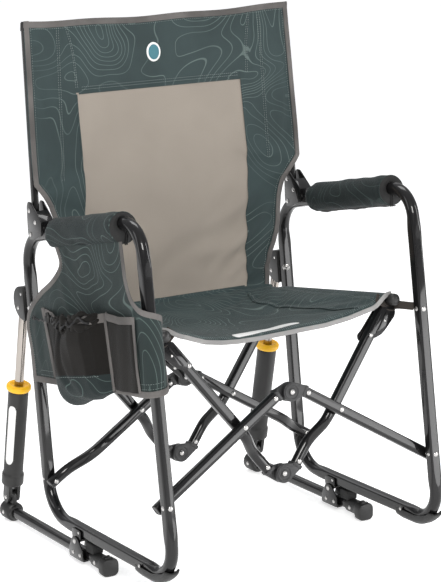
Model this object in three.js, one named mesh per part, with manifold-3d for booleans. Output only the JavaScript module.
// Folding rocking camp chair: two steel side loops that rock on ground rails, joined by a
// front and a rear double scissors, with sprung struts behind, a sling seat and a sling back.
// Millimetres, +Z up, the sitter faces -Y. Lengths below are measured from a point on the floor
// midway between the two rocking pins; ORIGIN_SHIFT moves that point so that the finished
// object stands centred on the origin.
import * as THREE from "three";
import { mergeVertices } from "three/addons/utils/BufferGeometryUtils.js";
import Module from "manifold-3d";

const wasm = await Module();
wasm.setup();

// ---- driving dimensions ------------------------------------------------------------------
const ORIGIN_SHIFT = [23.7, 13.1, 0];
const GAP = 0.4; // clearance kept between parts that touch

const HALF_WIDTH = 290; // side loops, from the middle plane
const TUBE = 23; // round side tube
const LOOP = [ // corners of the side loop's centre line: [y, z, bend radius]
  [125, 62, 72],
  [187, 597, 62],
  [-255, 696, 55],
  [-346, 62, 55],
];
const LOOP_SEAM_Y = -90; // where the tube's two ends butt, under the seat

const PIN_Z = 43; // rocking pin, midway between rail and loop
const PIN_R = 4;
const RAIL = { y0: -90, y1: 300, z: 19.5, r: 10 };
const CAP_R = 19.5; // rail end caps stand on the floor
const FOOT = { y1: -226, width: 30, thick: 7 };

const LEAN = THREE.MathUtils.degToRad(8); // the linkage planes lean back with the front legs
// Points of the scissors in their own plane: [across, up the plane].
const LEG_PIVOT = [290, 145];
const CROSSING = [105, 258];
const UPPER_HUB = [0, 307];
const LOWER_HUB = [0, 150];
const SEAT_RAIL = [249, 444];
const BAR = { wide: 20, deep: 18 };
const HUB_R = 18;
const BAR_END = 24; // from a hub's pivot to where the bar's tube begins
// Depths of the bars behind the middle plane's pin axis, along the hinge axes.
const FRONT = { leg: -325, cross: -325, seat: -301, low: -274, hanger: -290 };
const REAR = { leg: 90, cross: 60, seat: 79, low: 106, hanger: 67.6 };
const RAIL_TUBE = { r: 9.5, n0: -327, n1: 71 };

const ARM_PAD = { y0: -194, y1: 78, r: 29 };
const POLE = { side: 17, x0: 291, y0: 142.5, z0: 628, x1: 281, y1: 181, z1: 1003 };

const STRUT = { foot: [302, 50], top: [213, 448], r: 19, bore: 10.6, rod: 9 };

const STEEL = { color: 0x17181a, roughness: 0.3, metalness: 0.6 };
const PLASTIC = { color: 0x141414, roughness: 0.6, metalness: 0 };
const FABRIC = { color: 0x2c3a3a, roughness: 0.9, metalness: 0 };
const MESH = { color: 0x3a3836, roughness: 0.9, metalness: 0 };
const CHROME = { color: 0xc9c6c2, roughness: 0.15, metalness: 1 };
const YELLOW = { color: 0xf0a010, roughness: 0.5, metalness: 0 };

// ---- solids ------------------------------------------------------------------------------
function solid(geometry) {
  const bare = geometry.index ? geometry.toNonIndexed() : geometry.clone();
  bare.deleteAttribute("normal");
  bare.deleteAttribute("uv");
  const merged = mergeVertices(bare, 1e-3);
  return new wasm.Manifold(new wasm.Mesh({
    numProp: 3,
    vertProperties: merged.attributes.position.array,
    triVerts: new Uint32Array(merged.index.array),
  }));
}

function geometryOf(manifold) {
  const mesh = manifold.getMesh();
  const geometry = new THREE.BufferGeometry();
  geometry.setAttribute("position", new THREE.BufferAttribute(mesh.vertProperties, 3));
  geometry.setIndex(new THREE.BufferAttribute(mesh.triVerts, 1));
  return geometry;
}

function join(...parts) {
  return geometryOf(parts.map(solid).reduce((a, b) => a.add(b)));
}

function cut(body, ...tools) {
  return geometryOf(tools.map(solid).reduce((a, b) => a.subtract(b), solid(body)));
}

function box(x0, x1, y0, y1, z0, z1) {
  const shape = new THREE.BoxGeometry(x1 - x0, y1 - y0, z1 - z0);
  return shape.translate((x0 + x1) / 2, (y0 + y1) / 2, (z0 + z1) / 2);
}

// A cylinder along an axis name, from a to b, centred on the other two coordinates.
function rod(axis, r, a, b, [p, q], sides = 16) {
  const shape = new THREE.CylinderGeometry(r, r, b - a, sides).translate(0, (a + b) / 2, 0);
  if (axis === "x") return shape.rotateZ(-Math.PI / 2).translate(0, p, q);
  if (axis === "z") return shape.rotateX(Math.PI / 2).translate(p, q, 0);
  return shape.translate(p, 0, q);
}

// An outline in (y, z), or in (x, z) for a plate across the chair, given a thickness.
function plateYZ(points, x0, x1) {
  const shape = new THREE.Shape(points.map(([y, z]) => new THREE.Vector2(y, z)));
  const made = new THREE.ExtrudeGeometry(shape, { depth: x1 - x0, bevelEnabled: false });
  return made.rotateY(Math.PI / 2).rotateX(Math.PI / 2).translate(x0, 0, 0);
}

function plateXZ(points, y0, y1) {
  const shape = new THREE.Shape(points.map(([x, z]) => new THREE.Vector2(x, z)));
  const made = new THREE.ExtrudeGeometry(shape, { depth: y1 - y0, bevelEnabled: false });
  return made.rotateX(Math.PI / 2).translate(0, y1, 0);
}

// ---- tubes -------------------------------------------------------------------------------
// A path whose stations are exactly the points given, so bends get more steps than straights.
class Stations extends THREE.Curve {
  constructor(points) {
    super();
    this.points = points;
  }
  getPoint(t, target = new THREE.Vector3()) {
    const last = this.points.length - 1;
    const at = Math.min(Math.max(t, 0), 1) * last;
    const i = Math.min(Math.floor(at), last - 1);
    return target.copy(this.points[i]).lerp(this.points[i + 1], at - i);
  }
  getPointAt(t, target) {
    return this.getPoint(t, target);
  }
  getTangentAt(t, target = new THREE.Vector3()) {
    const last = this.points.length - 1;
    const i = Math.round(t * last);
    const way = (a, b) => this.points[b].clone().sub(this.points[a]).normalize();
    if (i === 0) return target.copy(way(0, 1));
    if (i === last) return target.copy(way(last - 1, last));
    return target.copy(way(i - 1, i)).add(way(i, i + 1)).normalize();
  }
}

function bend(before, corner, after, radius, steps) {
  const a = before.clone().sub(corner).normalize();
  const b = after.clone().sub(corner).normalize();
  const half = a.angleTo(b) / 2;
  const centre = a.clone().add(b).normalize().multiplyScalar(radius / Math.sin(half)).add(corner);
  const start = a.clone().multiplyScalar(radius / Math.tan(half)).add(corner).sub(centre);
  const end = b.clone().multiplyScalar(radius / Math.tan(half)).add(corner).sub(centre);
  const turn = start.angleTo(end);
  return Array.from({ length: steps + 1 }, (_, k) => {
    const u = k / steps;
    const p = start.clone().multiplyScalar(Math.sin((1 - u) * turn));
    return p.addScaledVector(end, Math.sin(u * turn)).divideScalar(Math.sin(turn)).add(centre);
  });
}

function sweep(points, section) {
  const path = new Stations(points);
  return new THREE.ExtrudeGeometry(section, { steps: points.length - 1, extrudePath: path });
}

function roundSection(r, sides = 12) {
  const turn = (k) => ((k + 0.5) / sides) * 2 * Math.PI;
  const at = (k) => new THREE.Vector2(Math.cos(turn(k)), Math.sin(turn(k))).multiplyScalar(r);
  return new THREE.Shape(Array.from({ length: sides }, (_, k) => at(k)));
}

function boxSection(w, h, chamfer) {
  const [a, b] = [w / 2, h / 2];
  const corners = [
    [a, b - chamfer], [a - chamfer, b], [-a + chamfer, b], [-a, b - chamfer],
    [-a, -b + chamfer], [-a + chamfer, -b], [a - chamfer, -b], [a, -b + chamfer],
  ];
  return new THREE.Shape(corners.map(([x, y]) => new THREE.Vector2(x, y)));
}

// The side loop's centre line in its own plane x = 0.
const LOOP_PATH = (() => {
  const corner = LOOP.map(([y, z]) => new THREE.Vector3(0, y, z));
  const points = [new THREE.Vector3(0, LOOP_SEAM_Y + 0.2, LOOP[0][1])];
  LOOP.forEach(([, , radius], i) => {
    points.push(...bend(corner.at(i - 1), corner[i], corner[(i + 1) % 4], radius, 6));
  });
  points.push(new THREE.Vector3(0, LOOP_SEAM_Y - 0.2, LOOP[3][1]));
  return points;
})();

// Height of the arm tube's centre line, and depth of each leg's, along their straights.
const along = (a, b, t) => a[1] + ((b[1] - a[1]) * (t - a[0])) / (b[0] - a[0]);
const armZ = (y) => along(LOOP[1], LOOP[2], y);
const rearLegY = (z) => along([LOOP[0][1], LOOP[0][0]], [LOOP[1][1], LOOP[1][0]], z);
const ARM_SLOPE = Math.atan2(LOOP[2][1] - LOOP[1][1], LOOP[1][0] - LOOP[2][0]);

const loopTube = (extra = 0) => sweep(LOOP_PATH, roundSection(TUBE / 2 + extra));

// ---- scene graph -------------------------------------------------------------------------
const chair = new THREE.Group();
chair.position.set(...ORIGIN_SHIFT);

function add(group, name, geometry, look) {
  const mesh = new THREE.Mesh(geometry, new THREE.MeshStandardMaterial(look));
  mesh.name = name;
  group.add(mesh);
  return mesh;
}

// Both sides are built alike: side is -1 for the sitter's right, +1 for the left.
const SIDES = [["right", -1], ["left", 1]];

// ---- ground rails ------------------------------------------------------------------------
function groundRail(side, group) {
  const { y0, y1, z, r } = RAIL;
  add(group, `${side}_ground_rail`, rod("y", r, y0, y1, [0, z]), STEEL);

  const frontCap = cut(rod("y", CAP_R, -110, -64, [0, CAP_R], 20), rod("y", r + GAP, y0 - GAP, 0, [0, z]));
  add(group, `${side}_rail_front_cap`, frontCap, PLASTIC);

  const [footY, footZ] = STRUT.foot;
  const lug = join(box(-5, 5, footY - 14, footY + 14, z, footZ), rod("x", 14, -5, 5, [footY, footZ], 20));
  const rearCap = cut(
    join(rod("y", CAP_R, 280, 322, [0, CAP_R], 20), lug),
    rod("y", r + GAP, 0, y1 + GAP, [0, z]),
    rod("x", 4.4, -8, 8, [footY, footZ], 12),
  );
  add(group, `${side}_rail_rear_cap`, rearCap, PLASTIC);

  // Triangular cheeks that carry the pin, on thick feet that grip the rail from below.
  const cheek = [[-30, 8], [24, 8], [24, 28], [8, PIN_Z + 7], [-8, PIN_Z + 7], [-30, 28]];
  const bracket = cut(
    plateYZ(cheek, -17.3, 17.3),
    rod("y", r + GAP, -50, 50, [0, z]),
    box(-14.8, 14.8, -50, 50, 28.5, 80),
    rod("x", PIN_R + GAP / 2, -30, 30, [0, PIN_Z], 12),
  );
  add(group, `${side}_rail_bracket`, bracket, STEEL);
  const pin = join(
    rod("x", PIN_R - 0.2, -20, 20, [0, PIN_Z], 12),
    rod("x", 6.5, -20.5, -17.7, [0, PIN_Z], 12),
    rod("x", 6.5, 17.7, 20.5, [0, PIN_Z], 12),
  );
  add(group, `${side}_rock_pin`, pin, CHROME);
  const stopTop = LOOP[0][1] - TUBE / 2 - GAP;
  add(group, `${side}_rock_stop`, box(-11, 11, -60, -33, z + r + GAP, stopTop), PLASTIC);
}

// ---- side frames -------------------------------------------------------------------------
function sideFrame(side, sign, group) {
  add(group, `${side}_side_loop`, loopTube(), STEEL);

  const base = LOOP[0][1];
  const lugs = [[-15, base + 6], [-15, base - 14], [-8, PIN_Z - 7], [8, PIN_Z - 7], [15, base - 14], [15, base + 6]];
  const pivot = cut(
    plateYZ(lugs, -14.4, 14.4),
    rod("y", TUBE / 2 + GAP, -50, 50, [0, base]),
    box(-12, 12, -50, 50, base, base + 50),
    box(-11, 11, -50, 50, 0, base - TUBE / 2 - 3),
    rod("x", PIN_R + GAP / 2, -30, 30, [0, PIN_Z], 12),
  );
  add(group, `${side}_frame_pivot_bracket`, pivot, STEEL);

  // The glide follows the underside of the base tube and the start of the front bend.
  const frontBend = LOOP_PATH.slice(-8, -1).reverse();
  const underside = [new THREE.Vector3(0, FOOT.y1, base), ...frontBend.slice(0, 5)];
  const [deep, half] = [TUBE / 2 + FOOT.thick, FOOT.width / 2];
  const corners = [[0, -half], [deep - 4, -half], [deep, 4 - half], [deep, half - 4], [deep - 4, half], [0, half]];
  const glide = new THREE.Shape(corners.map(([x, y]) => new THREE.Vector2(x, y)));
  const foot = cut(sweep(underside, glide), loopTube(GAP));
  add(group, `${side}_front_foot`, foot, PLASTIC);

  // Foam sleeve on the arm tube.
  const { y0, y1, r } = ARM_PAD;
  const length = (y1 - y0) / Math.cos(ARM_SLOPE);
  const bore = TUBE / 2 + GAP;
  const profile = [[bore, 0], [r, 0], [r, length - 24], [r - 13, length], [bore, length], [bore, 0]];
  const sleeve = new THREE.LatheGeometry(profile.map(([a, b]) => new THREE.Vector2(a, b)), 20);
  const pad = cut(sleeve, box(-40, 40, -10, length + 10, -40, 3.5 - r)); // flat where the folded seat rail comes to lie
  const armPad = add(group, `${side}_armrest_pad`, pad, FABRIC);
  armPad.rotation.x = -ARM_SLOPE;
  armPad.position.set(0, y0, armZ(y0));

  // Channel bracket that straddles the arm tube and holds the back pole's foot.
  const poleY = (z) => POLE.y0 + ((POLE.y1 - POLE.y0) * (z - POLE.z0)) / (POLE.z1 - POLE.z0);
  const cheek = [
    [118, 596], [150, 588], [164, 596], [162, 640], [poleY(672) + 13, 674],
    [poleY(672) - 6, 674], [118, 622],
  ];
  const bracket = cut(
    plateYZ(cheek, -15.5, 15.5),
    loopTube(GAP),
    box(-12.8, 12.8, 100, poleY(672) + 9.6, 612, 700),
    box(-12.8, 12.8, 100, 200, 560, 600),
  );
  add(group, `${side}_arm_bracket`, bracket, STEEL);

  const foot3 = new THREE.Vector3(sign * (POLE.x0 - HALF_WIDTH), POLE.y0, POLE.z0);
  const head3 = new THREE.Vector3(sign * (POLE.x1 - HALF_WIDTH), POLE.y1, POLE.z1);
  const mid = foot3.clone().lerp(head3, 0.5);
  add(group, `${side}_back_pole`, sweep([foot3, mid, head3], boxSection(POLE.side, POLE.side, 4)), STEEL);

  // Hood on the rear leg that the strut's rod runs up into.
  const [topY, topZ] = STRUT.top;
  const backOfLeg = (z) => rearLegY(z) + TUBE / 2 + GAP + 0.3;
  const hoodOutline = [
    [backOfLeg(424), 424], [topY + 24, 424], [topY + 24, topZ + 16], [topY + 18, topZ + 28],
    [topY + 6, topZ + 36], [backOfLeg(topZ + 38), topZ + 38],
  ];
  const hood = cut(plateYZ(hoodOutline, -14, 14), box(-10.2, 10.2, topY - 20, topY + 20, 400, topZ + 18));
  add(group, `${side}_strut_mount`, hood, PLASTIC);
}

// ---- struts ------------------------------------------------------------------------------
function strut(side, group) {
  const [footY, footZ] = STRUT.foot;
  const [topY, topZ] = STRUT.top;
  const hanging = new THREE.Group();
  hanging.position.set(0, footY, footZ);
  hanging.rotation.x = Math.atan2(footY - topY, topZ - footZ);
  group.add(hanging);

  const bore = rod("z", STRUT.bore, 66, 400, [0, 0]);
  const clevis = cut(
    join(rod("x", 11.5, -13, 13, [0, 0], 16), box(-13, 13, -11.5, 11.5, 0, 40)),
    box(-5.6, 5.6, -20, 20, -20, 31),
  );
  const barrel = cut(
    join(clevis, rod("z", STRUT.r + 2, 36, 60, [0, 0], 24), rod("z", STRUT.r, 58, 238, [0, 0], 24)),
    bore,
    rod("x", 4.4, -20, 20, [0, 0], 12),
  );
  add(hanging, `${side}_strut_barrel`, barrel, PLASTIC);
  const collar = [[STRUT.bore, 0], [22, 0], [24.5, 3], [24.5, 9], [21, 13], [STRUT.bore, 13], [STRUT.bore, 0]];
  const ring = new THREE.LatheGeometry(collar.map(([a, b]) => new THREE.Vector2(a, b)), 24);
  add(hanging, `${side}_strut_ring`, ring.rotateX(Math.PI / 2).translate(0, 0, 238 + GAP), YELLOW);
  const reach = Math.hypot(topY - footY, topZ - footZ);
  add(hanging, `${side}_strut_rod`, rod("z", STRUT.rod, 158, reach + 8, [0, 0], 16), CHROME);
}

// ---- scissors ----------------------------------------------------------------------------
// In the plane's own frame: x across, y along the hinge axes, z up the plane. The right-hand
// half is built on the -x side; the left-hand half is its mirror image.
const flip = ([u, w]) => new THREE.Vector2(-u, w);

function anticlockwise(outline) {
  const area = THREE.ShapeUtils.area(outline.map(([x, y]) => new THREE.Vector2(x, y)));
  return area < 0 ? outline.toReversed() : outline;
}

// One bar: its line runs through two in-plane points and stops short of the hub's pivot.
function barLine(from, through, hub) {
  const a = flip(from);
  const way = flip(through).sub(a).normalize();
  const pivot = flip(hub);
  const reach = pivot.clone().sub(a).dot(way);
  const side = new THREE.Vector2(-way.y, way.x);
  return { a, way, pivot, reach, side, offset: pivot.clone().sub(a).dot(side) };
}

const onBar = (line, s, n) => new THREE.Vector3(line.a.x + line.way.x * s, n, line.a.y + line.way.y * s);

function barTube(line, stations) {
  const points = stations.map(([s, n]) => onBar(line, s, n));
  return sweep(points, boxSection(BAR.deep, BAR.wide, 4));
}

// Half of a hub: a disc on the pivot, half the bar's depth, and the cheek that meets the tube.
// The pivot lies offset to one side of the bar's line, so the folded bars pass each other.
function hubHalf(line, n, layer) {
  const half = BAR.deep / 2;
  const [n0, n1] = layer < 0 ? [n - half, n - GAP] : [n + GAP, n + half];
  const { pivot, reach, offset } = line;
  const away = -Math.sign(offset);
  const place = (s, t) => {
    const p = line.a.clone().addScaledVector(line.way, reach - s).addScaledVector(line.side, t);
    return p.toArray();
  };
  const w = BAR.wide / 2;
  const end = BAR_END - GAP;
  const cheek = [
    place(end, away * w),
    place(end, -away * w),
    place(0, offset - away * 10),
    place(0, offset + away * (HUB_R - 1)),
  ];
  const block = [place(end, w), place(end, -w), place(end - 3.4, -w), place(end - 3.4, w)];
  return join(
    rod("y", HUB_R, n0, n1, pivot.toArray(), 24),
    plateXZ(anticlockwise(cheek), n0, n1),
    plateXZ(anticlockwise(block), n - half, n + half),
  );
}

function scissors(where, depth, group) {
  SIDES.forEach(([side, sign]) => {
    const plane = new THREE.Group();
    plane.rotation.x = -LEAN;
    plane.scale.x = -sign;
    group.add(plane);
    const layer = sign; // the left-hand half of each hub lies in front

    const leg = barLine(LEG_PIVOT, CROSSING, UPPER_HUB);
    const legStations = depth.leg === depth.cross
      ? [[-11, depth.leg], [leg.reach / 2, depth.leg], [leg.reach - BAR_END, depth.leg]]
      : [[-11, depth.leg], [26, depth.leg], [42, depth.leg - 4], [76, depth.cross + 4],
        [92, depth.cross], [leg.reach - BAR_END, depth.cross]];
    add(plane, `${side}_${where}_leg_bar`, barTube(leg, legStations), STEEL);
    add(plane, `${side}_${where}_upper_hub`, hubHalf(leg, depth.cross, -layer), PLASTIC);

    const seat = barLine(SEAT_RAIL, CROSSING, LOWER_HUB);
    const top = RAIL_TUBE.r + 3;
    const cross = flip(CROSSING).sub(seat.a).length();
    const seatStations = [[top, depth.seat], [cross + 24, depth.seat], [cross + 34, depth.seat + 3],
      [cross + 66, depth.low - 3], [cross + 76, depth.low], [seat.reach - BAR_END, depth.low]];
    add(plane, `${side}_${where}_seat_bar`, barTube(seat, seatStations), STEEL);
    add(plane, `${side}_${where}_lower_hub`, hubHalf(seat, depth.low, -layer), PLASTIC);

    // Hanger plate that ties the bar to the seat rail.
    const [railX, railZ] = [-SEAT_RAIL[0], SEAT_RAIL[1]];
    const outline = [
      [railX - 9, railZ - 9], [railX + 12, railZ - 52], [railX + 44, railZ - 84],
      [railX + 62, railZ - 66], [railX + 28, railZ - 20], [railX + 12, railZ - 2],
    ];
    const hanger = cut(
      join(plateXZ(outline, depth.hanger - 1.5, depth.hanger + 1.5),
        rod("y", 13.5, depth.hanger - 1.5, depth.hanger + 1.5, [railX, railZ], 20)),
      rod("y", RAIL_TUBE.r + GAP, -400, 400, [railX, railZ], 16),
      box(railX - 20, railX + 20, -400, 400, railZ + 6, railZ + 20),
    );
    add(plane, `${side}_${where}_seat_hanger`, hanger, STEEL);
  });
}

// ---- seat and back -----------------------------------------------------------------------
function sling(group) {
  const plane = new THREE.Group();
  plane.rotation.x = -LEAN;
  group.add(plane);
  SIDES.forEach(([side, sign]) => {
    const rail = rod("y", RAIL_TUBE.r, RAIL_TUBE.n0, RAIL_TUBE.n1, [sign * SEAT_RAIL[0], SEAT_RAIL[1]], 16);
    add(plane, `${side}_seat_rail`, rail, STEEL);
  });
  const edge = SEAT_RAIL[0] + 12;
  const top = SEAT_RAIL[1] + RAIL_TUBE.r + 3;
  const sag = 40;
  const inner = SEAT_RAIL[0] - RAIL_TUBE.r - 0.5;
  const line = (drop) => {
    const hanging = Array.from({ length: 15 }, (_, k) => k / 7 - 1);
    const curve = hanging.map((t) => [inner * t, top - drop - sag * (1 - t * t)]);
    return [[-edge, top - drop], ...curve, [edge, top - drop]];
  };
  const section = [...line(2.5), ...line(0).reverse()];
  add(plane, "seat_fabric", plateXZ(section, -316, 44), FABRIC);

  // Back: a flat sling in front of the poles, narrower where it passes between the arms.
  const half = [
    [289, 1006], [298, 704], [262, 664], [250, 620], [228, 548], [212, 508], [206, 464],
  ];
  const outline = [...half.map(([x, z]) => [-x, z]), ...half.toReversed()];
  const lean = Math.atan2(POLE.y1 - POLE.y0, POLE.z1 - POLE.z0);
  const back = plateXZ(outline.map(([x, z]) => [x, (z - POLE.z0) / Math.cos(lean)]), -12.4, -9.4);
  const cloth = add(group, "back_fabric", back, FABRIC);
  cloth.rotation.x = -lean;
  cloth.position.set(0, POLE.y0, POLE.z0);
}

// ---- pocket panel on the sitter's right --------------------------------------------------
function sidePockets(group) {
  const outer = -(TUBE / 2 + 1.5);
  const slope = -0.16; // the hems rise towards the front
  const hem = (y, z) => z + slope * y;
  const panel = [
    [140, hem(140, 348)], [165, 440], [110, 494], [44, 538], [22, 570], [30, armZ(30) - 28],
    [-190, armZ(-190) - 28], [-212, 650], [-226, 604], [-254, 562], [-300, 540], [-312, 520],
    [-318, hem(-318, 348)],
  ];
  add(group, "side_panel", plateYZ(panel.toReversed(), outer - 3, outer), FABRIC);

  // Cup holder: a D-shaped bag, open above, against the panel.
  const wallX = outer - 3 - GAP;
  const bag = (reach, halfWidth, z0, z1, inset) => {
    const steps = 14;
    const arc = Array.from({ length: steps + 1 }, (_, k) => {
      const turn = (k / steps) * Math.PI;
      return new THREE.Vector2(-inset - (reach - inset) * Math.sin(turn) ** 0.8, halfWidth * Math.cos(turn));
    });
    return new THREE.ExtrudeGeometry(new THREE.Shape(arc), { depth: z1 - z0, bevelEnabled: false })
      .translate(0, 0, z0);
  };
  const cup = cut(bag(60, 100, 0, 150, 0), bag(56.5, 96.5, 4, 170, 3.5));
  const cupMesh = add(group, "cup_holder", cup, MESH);
  cupMesh.position.set(wallX, -36, 342);
  cupMesh.rotation.x = Math.atan(slope);

  const pocket = cut(box(-12, 0, -53, 53, 0, 132), box(-9.5, -2.5, -50, 50, 3, 140));
  const phone = add(group, "phone_pocket", pocket, MESH);
  phone.position.set(wallX, -210, 388);
  phone.rotation.x = Math.atan(slope);
}

// ---- assembly ----------------------------------------------------------------------------
SIDES.forEach(([side, sign]) => {
  const group = new THREE.Group();
  group.position.x = sign * HALF_WIDTH;
  chair.add(group);
  groundRail(side, group);
  sideFrame(side, sign, group);
  strut(side, group);
  if (sign < 0) sidePockets(group);
});
scissors("front", FRONT, chair);
scissors("rear", REAR, chair);
sling(chair);

export default chair;
